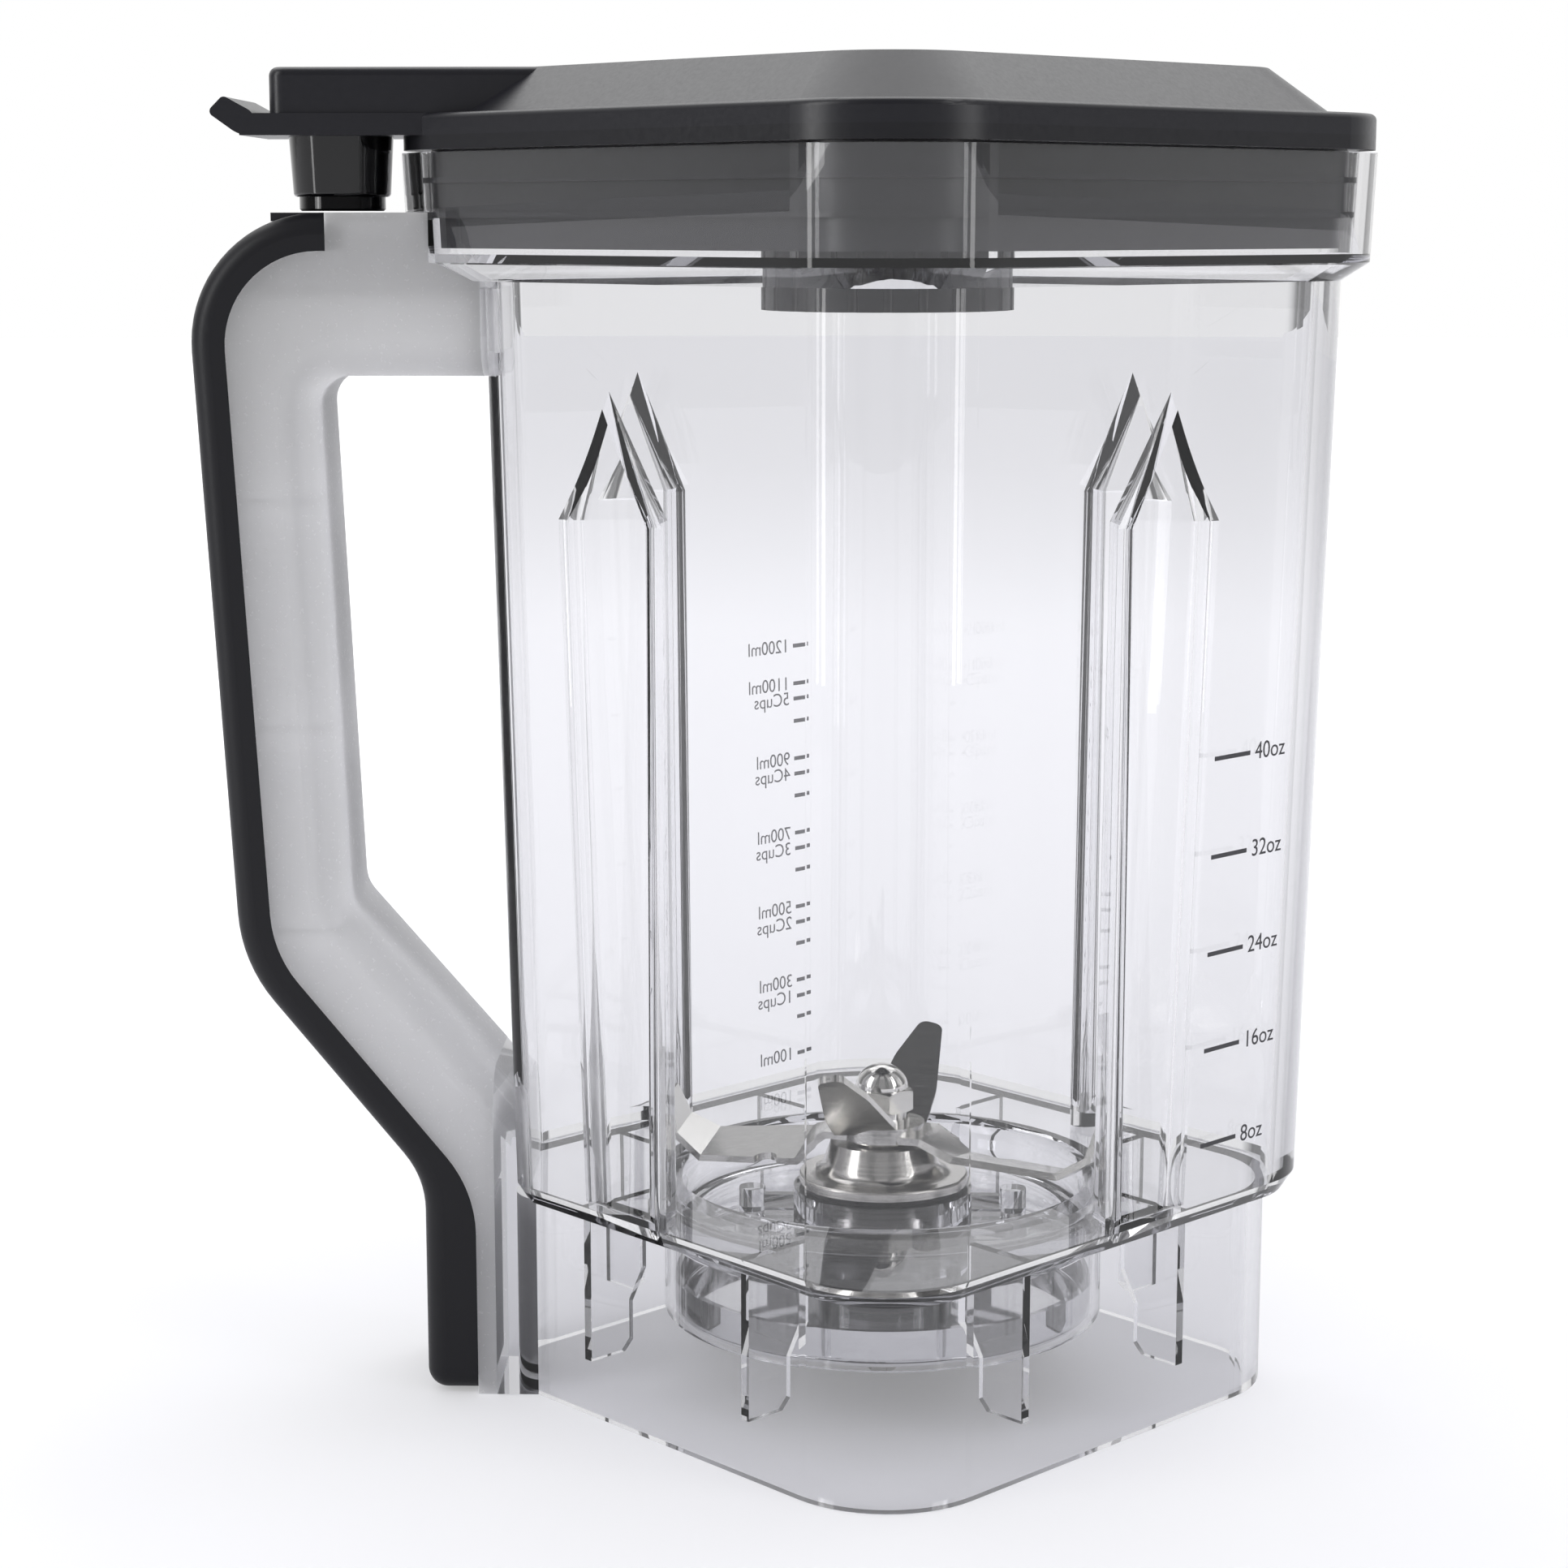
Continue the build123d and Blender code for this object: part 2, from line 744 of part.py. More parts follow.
def lid_seal():
    """Soft ring on the lid's plug: a flange under the rim, a band and two lips against the collar."""
    seal = square_prism(rim_half, collar_corner_r, seal_z, rim_z)
    seal += square_prism(plug_half + seal_t, plug_corner_r + seal_t, rim_z - seal_drop, seal_z)
    for drop in lip_drops:
        z = seal_z - drop
        share = (z - collar_z) / collar_h
        half = collar_half_low + (collar_half - collar_half_low) * share - collar_wall - lip_gap
        seal += square_prism(half, collar_corner_r - collar_wall - lip_gap, z - lip_t, z)
    return seal - square_prism(plug_half, plug_corner_r, rim_z - plug_drop, rim_z)


def filler_cap():
    """Hollow cap with a fluted skirt, a rim that seats in the lid and a finger bar across its top."""
    top_z = lid_top_z - cap_recess + cap_seat_gap + cap_flange_t
    flange_z = top_z - cap_flange_t
    scoop_z = top_z - cap_scoop_depth
    cap = rod(cap_r, cap_bottom_z, top_z) + rod(cap_flange_r, flange_z, top_z)
    cap -= rod(cap_r - cap_t, cap_bottom_z, scoop_z - cap_top_t)
    scoop = rod(cap_scoop_r, scoop_z, top_z)
    bar = Pos(0, 0, scoop_z) * Box(
        cap_bar_w, 2 * cap_scoop_r, cap_scoop_depth, align=(Align.CENTER, Align.CENTER, Align.MIN)
    )
    cap -= scoop - bar
    groove = rod(cap_flute_r, cap_bottom_z, cap_bottom_z + cap_flute_h)
    reach = cap_r + cap_flute_r / 2
    return cap - [loc * groove for loc in PolarLocations(reach, cap_flutes)]


def interlock_cup():
    """Tapered cup under the lid's tab, open below for the plunger."""
    z_low = rim_z - cup_h
    inner = cup_r - cup_t
    cup = loft([Pos(0, 0, z_low) * Circle(cup_foot_r), Pos(0, 0, rim_z) * Circle(cup_r)])
    cup = fillet(cup.edges().group_by(Axis.Z)[0], cup_edge_r)
    cup -= rod(plunger_stem_r + seat_gap, z_low, rim_z - cup_t)
    return Pos(-cup_x, 0, 0) * (cup - tube(inner, plunger_stem_r + cup_t, z_low + cup_t, rim_z - cup_t))


def interlock_plunger():
    """Round foot and stem that press on the plate in the handle when the lid is shut."""
    z_low = handle_top_z + plunger_gap
    foot_top = rim_z - cup_h
    foot = rod(plunger_r, z_low, foot_top)
    foot = chamfer(foot.edges().group_by(Axis.Z)[0], cup_edge_r / 2)
    return Pos(-cup_x, 0, 0) * (foot + rod(plunger_stem_r, foot_top, rim_z - cup_t - plunger_gap))


def bearing_housing():
    """Turned steel housing: flange and cone above the floor, a barrel through the boss."""
    bore = bearing_r
    groove_low = lower_bearing_z - circlip_t
    outline = [
        (bore, barrel_end_z),
        (barrel_r, barrel_end_z),
        (barrel_r, housing_z),
        (housing_flange_r, housing_z),
        (housing_flange_r, cone_z),
        (housing_cone_low_r, cone_z),
        (housing_cone_high_r, housing_top_z),
        (housing_lip_r, housing_top_z),
        (housing_lip_r, housing_top_z - housing_lip_t),
        (bore, housing_top_z - housing_lip_t),
        (bore, lower_bearing_z),
        (bore + circlip_depth, lower_bearing_z),
        (bore + circlip_depth, groove_low),
        (bore, groove_low),
    ]
    radii = [0.0] * len(outline)
    radii[outline.index((housing_flange_r, cone_z))] = housing_edge_r
    radii[outline.index((housing_cone_low_r, cone_z))] = housing_flare_r
    side = FilletPolyline(*outline, radius=radii, close=True)
    return revolve(make_face(Plane.XZ * side), Axis.Z)


def bearing(z_low):
    """Ball bearing with its shields set in between the two rings."""
    z_high = z_low + bearing_w
    bore = spindle_r + running_gap
    step = bearing_ring_t
    return turned(
        (bore, z_low),
        (bore + step, z_low),
        (bore + step, z_low + bearing_shield_in),
        (bearing_r - step, z_low + bearing_shield_in),
        (bearing_r - step, z_low),
        (bearing_r, z_low),
        (bearing_r, z_high),
        (bearing_r - step, z_high),
        (bearing_r - step, z_high - bearing_shield_in),
        (bore + step, z_high - bearing_shield_in),
        (bore + step, z_high),
        (bore, z_high),
    )


def bearing_circlip():
    """Sprung ring in the housing's groove, with its gap and the two eyes for pliers."""
    z_low = lower_bearing_z - circlip_t
    outer = bearing_r + circlip_depth
    inner = outer - circlip_ring_w
    ring = tube(outer, inner, z_low, lower_bearing_z)
    gap = Box(2 * bearing_r, circlip_ring_w, 4 * circlip_t, align=(Align.MIN, Align.CENTER, Align.CENTER))
    return ring - Pos(0, 0, z_low) * gap


def shaft_seal():
    z_low = upper_bearing_z + bearing_w
    z_high = housing_top_z - housing_lip_t
    bore = spindle_r + running_gap
    throat = bore + bearing_ring_t
    return turned(
        (bearing_r, z_low),
        (bearing_r, z_high),
        (bore, z_high),
        (bore, z_high - bearing_ring_t),
        (throat, z_low + bearing_ring_t),
        (throat, z_low),
    )


def steel_dish():
    """Pressed dish that closes the ring under the floor, clamped on the boss by the nut."""
    inner = dish_r - dish_t
    dish = rod(dish_r, dish_z, dish_z + dish_h)
    dish = fillet(dish.edges().group_by(Axis.Z)[0], dish_edge_r)
    hollow = rod(inner, dish_z + dish_t, dish_z + dish_h)
    hollow = fillet(hollow.edges().group_by(Axis.Z)[0], dish_edge_r - dish_t)
    return dish - hollow - rod(barrel_r + barrel_gap, dish_z, dish_z + dish_h)


def hex_prism(across_flats, z_low, z_high):
    outline = RegularPolygon(across_flats / 2, 6, major_radius=False)
    return extrude(Pos(0, 0, z_low) * outline, amount=z_high - z_low)


def retaining_nut():
    z_low = dish_z - nut_h
    corner = nut_across_flats / sqrt(3)
    body = hex_prism(nut_across_flats, z_low, dish_z)
    slope = (corner - nut_across_flats / 2) / 2
    cone = turned(
        (0, z_low),
        (nut_across_flats / 2, z_low),
        (corner, z_low + slope),
        (corner, dish_z),
        (0, dish_z),
    )
    return (body & cone) - rod(barrel_r, z_low, dish_z)


def seat_outline(gap=0.0):
    """Round stud with two flats, which keys the blades to the spindle."""
    return Circle(seat_r + gap) & Rectangle(4 * seat_r, 2 * (seat_flat + gap))


def spindle():
    """Spindle: splined drive end, bearing journal, flinger collar, keyed seat and threaded stud."""
    stud_top = cap_nut_z + nut_hex_h
    shaft = rod(spindle_r, spline_top_z, flinger_z)
    shaft += rod(flinger_r, flinger_z, lower_blade_z)
    shaft += extrude(Pos(0, 0, lower_blade_z) * seat_outline(), amount=2 * blade_t)
    shaft += rod(stud_r, washer_z, stud_top)
    spline = rod(spline_r, spindle_end_z, spline_top_z)
    spline = chamfer(spline.edges().group_by(Axis.Z)[0], spline_groove_depth)
    cut = Pos(0, 0, spline_top_z / 2) * Box(2 * spline_groove_depth, spline_groove_w, spline_top_z)
    spline -= [loc * cut for loc in PolarLocations(spline_r, spline_grooves)]
    groove_low = clip_z() - seat_gap
    groove_high = clip_z() + circlip_t + seat_gap
    groove = tube(spindle_r + cut_over, spindle_r - circlip_depth, groove_low, groove_high)
    return Rot(0, 0, blade_turn) * (shaft + spline - groove)


def clip_z():
    return lower_bearing_z - clip_gap - circlip_t


def spindle_clip():
    """Sprung ring in the spindle's groove under the lower bearing."""
    ring = tube(clip_r, spindle_r - circlip_depth, clip_z(), clip_z() + circlip_t)
    gap = Box(2 * clip_r, circlip_ring_w, 4 * circlip_t, align=(Align.MIN, Align.CENTER, Align.CENTER))
    return ring - Pos(0, 0, clip_z()) * gap


def strip_section(x, z, width, pitch, lean):
    """Cross-section of a blade's wing: a thin rectangle across the wing at x."""
    place = Pos(x, 0, z) * Rot(pitch, 0, 0) * Rot(0, 90 - lean, 0)
    return place * Rectangle(blade_t, width)


def lower_blade():
    """Flat blade with two long wings, stepped down from the hub, pitched and turned up at the tips."""
    mid = lower_blade_z + blade_t / 2
    low = mid - wing_drop
    lowest = low - wing_sag
    curl_r = wing_tip_r - wing_curl
    curl_z = lowest + wing_tip_rise / 3
    sections = [
        strip_section(hub_r / 2, mid, wing_root_w, 0, 0),
        strip_section(wing_joggle_in, mid, wing_root_w, 0, wing_joggle_lean),
        strip_section(wing_joggle_out, low, wing_w, wing_pitch, wing_joggle_lean),
        strip_section(wing_bend_r, lowest, wing_w - wing_taper, wing_pitch, wing_bend_lean),
        strip_section(curl_r, curl_z, wing_tip_w + wing_taper, wing_pitch, wing_curl_lean),
        strip_section(wing_tip_r, lowest + wing_tip_rise, wing_tip_w / 2, wing_pitch, wing_tip_lean),
    ]
    wing = loft(sections, ruled=True)
    notch = Pos(notch_at, wing_w / 2, lowest - wing_drop) * Cylinder(notch_r, 4 * wing_drop)
    wing -= notch
    blade = rod(hub_r, lower_blade_z, upper_blade_z) + wing + Rot(0, 0, 180) * wing
    hole = extrude(Pos(0, 0, lower_blade_z) * seat_outline(hub_hole_gap), amount=blade_t)
    return Rot(0, 0, blade_turn) * (blade - hole)


def upper_blade():
    """Blade with two leaves bent up from the hub, across the lower blade."""
    outline = make_face(
        FilletPolyline(
            (0, -leaf_root_w / 2),
            (leaf_length * leaf_belly_at, -leaf_w / 2),
            (leaf_length, -leaf_w * leaf_tip_front),
            (leaf_length, leaf_w * leaf_tip_back),
            (leaf_length * leaf_back_at, leaf_w / 2),
            (0, leaf_root_w / 2),
            radius=[0, leaf_belly_r, leaf_tip_r, leaf_tip_r, leaf_back_r, 0],
            close=True,
        )
    )
    leaf = extrude(outline, amount=blade_t)
    leaf = Pos(leaf_root, 0, upper_blade_z) * Rot(0, -leaf_rise, 0) * Rot(leaf_twist, 0, 0) * leaf
    leaf -= Pos(0, 0, upper_blade_z) * Box(
        4 * leaf_length, 4 * leaf_w, 4 * leaf_w, align=(Align.CENTER, Align.CENTER, Align.MAX)
    )
    leaf -= rod(washer_r + seat_gap, upper_blade_z, cap_nut_z + nut_hex_h)
    blade = rod(hub_r, upper_blade_z, washer_z)
    blade += [Rot(0, 0, turn + leaf_turn) * leaf for turn in (90, 270)]
    hole = extrude(Pos(0, 0, upper_blade_z) * seat_outline(hub_hole_gap), amount=blade_t)
    return Rot(0, 0, blade_turn) * (blade - hole)


def lock_washer():
    """Split spring washer."""
    ring = tube(lock_washer_r, stud_r + seat_gap, lock_washer_z, cap_nut_z)
    slot = Pos(lock_washer_r, 0, lock_washer_z) * Box(2 * lock_washer_r, lock_slot, 4 * lock_washer_t)
    return ring - Rot(0, 0, blade_turn) * slot


def cap_nut():
    """Domed nut: a chamfered hexagon with a ball-ended cap."""
    hex_top = cap_nut_z + nut_hex_h
    dome_top = hex_top + nut_dome_h
    body = hex_prism(nut_flats, cap_nut_z, hex_top)
    corner = nut_flats / sqrt(3)
    slope = (corner - nut_flats / 2) * tan(radians(30))
    cone = turned(
        (0, cap_nut_z),
        (nut_flats / 2, cap_nut_z),
        (corner, cap_nut_z + slope),
        (corner, hex_top - slope),
        (nut_flats / 2, hex_top),
        (0, hex_top),
    )
    arc = (nut_dome_r * cos(radians(45)), dome_top - nut_dome_r * (1 - sin(radians(45))))
    side = Line((0, hex_top), (nut_dome_r, hex_top))
    side += Line((nut_dome_r, hex_top), (nut_dome_r, dome_top - nut_dome_r))
    side += ThreePointArc((nut_dome_r, dome_top - nut_dome_r), arc, (0, dome_top))
    side += Line((0, dome_top), (0, hex_top))
    dome = revolve(make_face(Plane.XZ * side), Axis.Z)
    thread_top = dome_top - nut_wall_t
    return Rot(0, 0, blade_turn) * ((body & cone) + dome - rod(stud_r, cap_nut_z, thread_top))


parts = {
    "jar_body": jar_body(),
    "handle_grip": handle_grip(),
    "handle_top_plate": handle_top_plate(),
    "handle_foot_block": handle_foot_block(),
    "lid_cover": lid_cover(),
    "lid_seal": lid_seal(),
    "filler_cap": filler_cap(),
    "interlock_cup": interlock_cup(),
    "interlock_plunger": interlock_plunger(),
    "bearing_housing": bearing_housing(),
    "housing_gasket": tube(gasket_out_r, barrel_r, boss_top_z, housing_z),
    "upper_bearing": bearing(upper_bearing_z),
    "lower_bearing": bearing(lower_bearing_z),
    "bearing_spacer": tube(bearing_r, bearing_r - spacer_t, lower_bearing_z + bearing_w, upper_bearing_z),
    "bearing_circlip": bearing_circlip(),
    "shaft_seal": shaft_seal(),
    "steel_dish": steel_dish(),
    "retaining_nut": retaining_nut(),
    "spindle": spindle(),
    "spindle_clip": spindle_clip(),
    "lower_blade": lower_blade(),
    "upper_blade": upper_blade(),
    "blade_washer": tube(washer_r, stud_r, washer_z, lock_washer_z),
    "lock_washer": lock_washer(),
    "cap_nut": cap_nut(),
}

os.makedirs("parts", exist_ok=True)
for name, shape in parts.items():
    export_step(shape, f"parts/{name}.step")
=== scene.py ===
import bmesh
import bpy
from math import cos, radians, sin
from mathutils import Matrix, Vector


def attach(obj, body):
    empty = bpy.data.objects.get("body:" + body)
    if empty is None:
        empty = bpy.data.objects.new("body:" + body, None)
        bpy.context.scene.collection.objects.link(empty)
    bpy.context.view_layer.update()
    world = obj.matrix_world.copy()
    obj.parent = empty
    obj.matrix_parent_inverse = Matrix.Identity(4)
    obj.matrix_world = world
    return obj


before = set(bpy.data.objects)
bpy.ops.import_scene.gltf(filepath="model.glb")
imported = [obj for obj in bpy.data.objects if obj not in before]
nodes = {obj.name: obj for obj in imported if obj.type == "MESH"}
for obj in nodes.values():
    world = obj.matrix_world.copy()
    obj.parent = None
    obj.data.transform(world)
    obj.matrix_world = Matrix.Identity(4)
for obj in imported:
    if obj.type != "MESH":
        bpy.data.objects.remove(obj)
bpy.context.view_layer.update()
scene = bpy.context.scene
scene.view_settings.view_transform = "Standard"
# Light crosses many clear walls before it gets out of the jar
scene.cycles.max_bounces = 10
scene.cycles.transmission_bounces = 10
scene.cycles.glossy_bounces = 4
scene.cycles.diffuse_bounces = 2
scene.cycles.caustics_reflective = False
scene.cycles.sample_clamp_indirect = 3.0
mm = 0.001
white = (1.0, 1.0, 1.0, 1.0)
colourA, colourB, colourOut = 6, 7, 2  # sockets of a Mix node that mixes colours
noiseLow, noiseHigh = 0.3, 0.7  # nearly all of a noise pattern lies between these
print("frame loaded:", len(nodes), "nodes")


def linear(hexColour, strength=1.0):
    # sRGB hex to the linear values that shaders take, darker or lighter by strength
    channels = [int(hexColour[i:i + 2], 16) / 255 for i in (1, 3, 5)]
    rgb = [c / 12.92 if c <= 0.04045 else ((c + 0.055) / 1.055) ** 2.4 for c in channels]
    return [c * strength for c in rgb] + [1.0]


def addNode(tree, kind, inputs=None, **settings):
    node = tree.nodes.new(kind)
    for name, value in settings.items():
        setattr(node, name, value)
    for socket, value in (inputs or {}).items():
        if isinstance(value, bpy.types.NodeSocket):
            tree.links.new(value, node.inputs[socket])
        else:
            node.inputs[socket].default_value = value
    return node


def startMaterial(name):
    material = bpy.data.materials.new(name)
    material.use_nodes = True
    tree = material.node_tree
    tree.nodes.clear()
    place = addNode(tree, "ShaderNodeTexCoord").outputs["Object"]
    return material, tree, place


def dress(material, names):
    for name in names:
        nodes[name].data.materials.clear()
        nodes[name].data.materials.append(material)


# Clear polycarbonate, moulded and polished: the walls vanish and their edges draw grey lines.
# The handle is spark-frosted in the mould, and glows pale where light comes through it.
jarLook = {
    "clear": "#fdfdfe",
    "frost": "#fcfcfc",
    "absorb": "#c4c4c9",  # greys the long way through an edge
    "absorbPerMetre": 24.0,
    "ior": 1.52,
    "clearRoughness": 0.0,
    "frostRoughness": 0.26,
    "frostSpread": 0.02,
    "frostTransmission": 0.40,
    "frostGlow": 0.72,  # share of light that the frost scatters through instead of bouncing
    "speckleMm": 0.9,  # real frost is about 0.1 mm, drawn coarser so that it shows
    "speckleDetail": 3.0,
    "speckleRoughness": 0.6,
    "lampTint": "#fafafc",
    "on": ("jar_body",),
}
# Where the frost ends, in mm: the collar's round corner stays clear where it overhangs the handle
frostEdge = {
    "handleX": -75.4,
    "handleHalf": 17.1,
    "neckLow": 215.5,
    "neckHigh": 218.9,
    "cornerX": -67.0,  # middle of the corner
    "radiusLow": 7.6,  # at the neck's foot
    "radiusHigh": 24.6,  # above the neck
}


def frostMask(tree, place):
    # 1 on frosted surfaces and 0 on clear ones
    edge = {name: size * mm for name, size in frostEdge.items()}
    xyz = addNode(tree, "ShaderNodeSeparateXYZ", {"Vector": place}).outputs
    onHandle = addNode(
        tree, "ShaderNodeMath", {0: xyz["X"], 1: edge["handleX"]}, operation="LESS_THAN"
    ).outputs[0]
    aboveNeck = addNode(
        tree, "ShaderNodeMath", {0: xyz["Z"], 1: edge["neckLow"]}, operation="GREATER_THAN"
    ).outputs[0]
    flatPlace = addNode(tree, "ShaderNodeCombineXYZ", {"X": xyz["X"], "Y": xyz["Y"]}).outputs["Vector"]
    fromCorner = addNode(
        tree, "ShaderNodeVectorMath", {0: flatPlace, 1: (edge["cornerX"], 0, 0)}, operation="DISTANCE"
    ).outputs["Value"]
    cornerReach = addNode(
        tree, "ShaderNodeMapRange",
        {"Value": xyz["Z"], "From Min": edge["neckLow"], "From Max": edge["neckHigh"],
         "To Min": edge["radiusLow"], "To Max": edge["radiusHigh"]},
    ).outputs["Result"]
    inCorner = addNode(
        tree, "ShaderNodeMath", {0: fromCorner, 1: cornerReach}, operation="LESS_THAN"
    ).outputs[0]
    offCentre = addNode(tree, "ShaderNodeMath", {0: xyz["Y"]}, operation="ABSOLUTE").outputs[0]
    besideHandle = addNode(
        tree, "ShaderNodeMath", {0: offCentre, 1: edge["handleHalf"]}, operation="GREATER_THAN"
    ).outputs[0]
    eitherOne = addNode(
        tree, "ShaderNodeMath", {0: inCorner, 1: besideHandle}, operation="MAXIMUM"
    ).outputs[0]
    onCollar = addNode(
        tree, "ShaderNodeMath", {0: aboveNeck, 1: eitherOne}, operation="MULTIPLY"
    ).outputs[0]
    return addNode(
        tree, "ShaderNodeMath", {0: onHandle, 1: onCollar}, operation="SUBTRACT", use_clamp=True
    ).outputs[0]


def clearPolycarbonate():
    look = jarLook
    material, tree, place = startMaterial("clearPolycarbonate")
    frosted = frostMask(tree, place)
    speckle = addNode(
        tree, "ShaderNodeTexNoise",
        {"Vector": place, "Scale": 1 / (look["speckleMm"] * mm), "Detail": look["speckleDetail"],
         "Roughness": look["speckleRoughness"]},
    ).outputs["Fac"]
    frostRough = addNode(
        tree, "ShaderNodeMapRange",
        {"Value": speckle, "From Min": noiseLow, "From Max": noiseHigh,
         "To Min": look["frostRoughness"] - look["frostSpread"],
         "To Max": look["frostRoughness"] + look["frostSpread"]},
    ).outputs["Result"]
    rough = addNode(
        tree, "ShaderNodeMix",
        {"Factor": frosted, "A": look["clearRoughness"], "B": frostRough},
        data_type="FLOAT",
    ).outputs["Result"]
    sends = addNode(
        tree, "ShaderNodeMix",
        {"Factor": frosted, "A": 1.0, "B": look["frostTransmission"]},
        data_type="FLOAT",
    ).outputs["Result"]
    colour = addNode(
        tree, "ShaderNodeMix",
        {"Factor": frosted, colourA: linear(look["clear"]), colourB: linear(look["frost"])},
        data_type="RGBA",
    ).outputs[colourOut]
    shader = addNode(
        tree, "ShaderNodeBsdfPrincipled",
        {"Base Color": colour, "Roughness": rough, "Transmission Weight": sends, "IOR": look["ior"]},
    ).outputs["BSDF"]
    # Frost glows with the light that falls on its far side
    glow = addNode(tree, "ShaderNodeBsdfTranslucent", {"Color": linear(look["frost"])}).outputs["BSDF"]
    share = addNode(
        tree, "ShaderNodeMath", {0: frosted, 1: look["frostGlow"]}, operation="MULTIPLY"
    ).outputs[0]
    wall = addNode(tree, "ShaderNodeMixShader", {0: share, 1: shader, 2: glow}).outputs["Shader"]
    # Lamps pass through the clear walls, so the floor inside the skirt is only tinted
    lampSide = addNode(
        tree, "ShaderNodeBsdfTransparent", {"Color": linear(look["lampTint"])}
    ).outputs["BSDF"]
    forLamps = addNode(tree, "ShaderNodeLightPath").outputs["Is Shadow Ray"]
    surface = addNode(tree, "ShaderNodeMixShader", {0: forLamps, 1: wall, 2: lampSide}).outputs["Shader"]
    tint = addNode(
        tree, "ShaderNodeVolumeAbsorption",
        {"Color": linear(look["absorb"]), "Density": look["absorbPerMetre"]},
    ).outputs["Volume"]
    addNode(tree, "ShaderNodeOutputMaterial", {"Surface": surface, "Volume": tint})
    return material


# Moulded plastics: the mould's fine texture breaks the sheen, and the pigment drifts a little.
# Real grain is about 0.1 mm, drawn coarser so that it shows.
mouldGrain = {
    "detail": 2.0,
    "roughSpread": 0.03,
    "bump": 0.35,
    "driftMm": 22,
    "driftDetail": 3.0,
}
plastics = {
    # Satin ABS: charcoal that catches a soft grey sheen on the lid's slopes
    "satinLidAbs": {
        "colour": "#1c1c21", "roughness": 0.32, "specular": 0.42,
        "grainMm": 0.8, "grainDepthMm": 0.002, "mottle": 0.04,
        "on": ("lid_cover", "filler_cap"),
    },
    # Soft overmoulded rubber: a dark strip with little shine
    "softGripTpe": {
        "colour": "#18181c", "roughness": 0.42, "specular": 0.28,
        "grainMm": 0.5, "grainDepthMm": 0.008, "mottle": 0.05,
        "on": ("handle_grip",),
    },
    # Textured ABS: small dark parts with an even, dull shine
    "darkPlateAbs": {
        "colour": "#1e1e23", "roughness": 0.35, "specular": 0.40,
        "grainMm": 0.5, "grainDepthMm": 0.010, "mottle": 0.04,
        "on": ("handle_top_plate", "handle_foot_block"),
    },
    # Silicone: smooth and dark behind the clear collar
    "siliconeSeal": {
        "colour": "#18181c", "roughness": 0.32, "specular": 0.40,
        "grainMm": 1.2, "grainDepthMm": 0.001, "mottle": 0.04,
        "on": ("lid_seal", "housing_gasket", "shaft_seal"),
    },
    # Polished ABS: black with sharp reflections
    "glossCupAbs": {
        "colour": "#08080a", "roughness": 0.06, "specular": 0.50,
        "grainMm": 0.8, "grainDepthMm": 0.002, "mottle": 0.05,
        "on": ("interlock_cup", "interlock_plunger"),
    },
}


def mouldedPlastic(name, look):
    material, tree, place = startMaterial(name)
    grain = addNode(
        tree, "ShaderNodeTexNoise",
        {"Vector": place, "Scale": 1 / (look["grainMm"] * mm), "Detail": mouldGrain["detail"]},
    ).outputs["Fac"]
    drift = addNode(
        tree, "ShaderNodeTexNoise",
        {"Vector": place, "Scale": 1 / (mouldGrain["driftMm"] * mm), "Detail": mouldGrain["driftDetail"]},
    ).outputs["Fac"]
    shade = addNode(
        tree, "ShaderNodeMix",
        {"Factor": drift, colourA: linear(look["colour"], 1 - look["mottle"]),
         colourB: linear(look["colour"], 1 + look["mottle"])},
        data_type="RGBA",
    ).outputs[colourOut]
    rough = addNode(
        tree, "ShaderNodeMapRange",
        {"Value": grain, "From Min": noiseLow, "From Max": noiseHigh,
         "To Min": look["roughness"] - mouldGrain["roughSpread"],
         "To Max": look["roughness"] + mouldGrain["roughSpread"]},
    ).outputs["Result"]
    relief = addNode(
        tree, "ShaderNodeBump",
        {"Height": grain, "Strength": mouldGrain["bump"], "Distance": look["grainDepthMm"] * mm},
    ).outputs["Normal"]
    shader = addNode(
        tree, "ShaderNodeBsdfPrincipled",
        {"Base Color": shade, "Roughness": rough, "Normal": relief, "Specular IOR Level": look["specular"]},
    ).outputs["BSDF"]
    addNode(tree, "ShaderNodeOutputMaterial", {"Surface": shader})
    return material


# Steels: fine tool lines, noise that is drawn out along the way the tool went.
# Real lines are under 0.1 mm, drawn coarser so that they show.
toolLines = {
    "detail": 4.0,
    "darkest": 0.86,
    "roughShare": 0.25,
    "bump": 0.25,
}
steels = {
    # Turned stainless: grey-white, with fine rings that smear highlights
    "turnedStainless": {
        "colour": "#cfcdc9", "roughness": 0.20,
        "lineMm": 0.5, "lineDepthMm": 0.004, "stretch": (0.02, 0.02, 1.0),
        "on": ("bearing_housing", "spindle", "retaining_nut", "bearing_spacer"),
    },
    # Polished stainless: bright, with nearly clear reflections
    "polishedStainless": {
        "colour": "#dcdbd8", "roughness": 0.09,
        "lineMm": 0.8, "lineDepthMm": 0.002, "stretch": (0.3, 0.3, 1.0),
        "on": ("cap_nut", "blade_washer", "lock_washer", "upper_bearing", "lower_bearing",
               "bearing_circlip", "spindle_clip"),
    },
    # Chromed sheet: a mirror with a slight blue cast
    "chromedDish": {
        "colour": "#e4e4e6", "roughness": 0.05,
        "lineMm": 1.2, "lineDepthMm": 0.001, "stretch": (0.2, 0.2, 1.0),
        "on": ("steel_dish",),
    },
    # Ground blade steel: satin, with scratches along X
    "groundBladeSteel": {
        "colour": "#d4d3d0", "roughness": 0.20,
        "lineMm": 0.35, "lineDepthMm": 0.003, "stretch": (0.05, 1.0, 1.0),
        "on": ("lower_blade", "upper_blade"),
    },
}


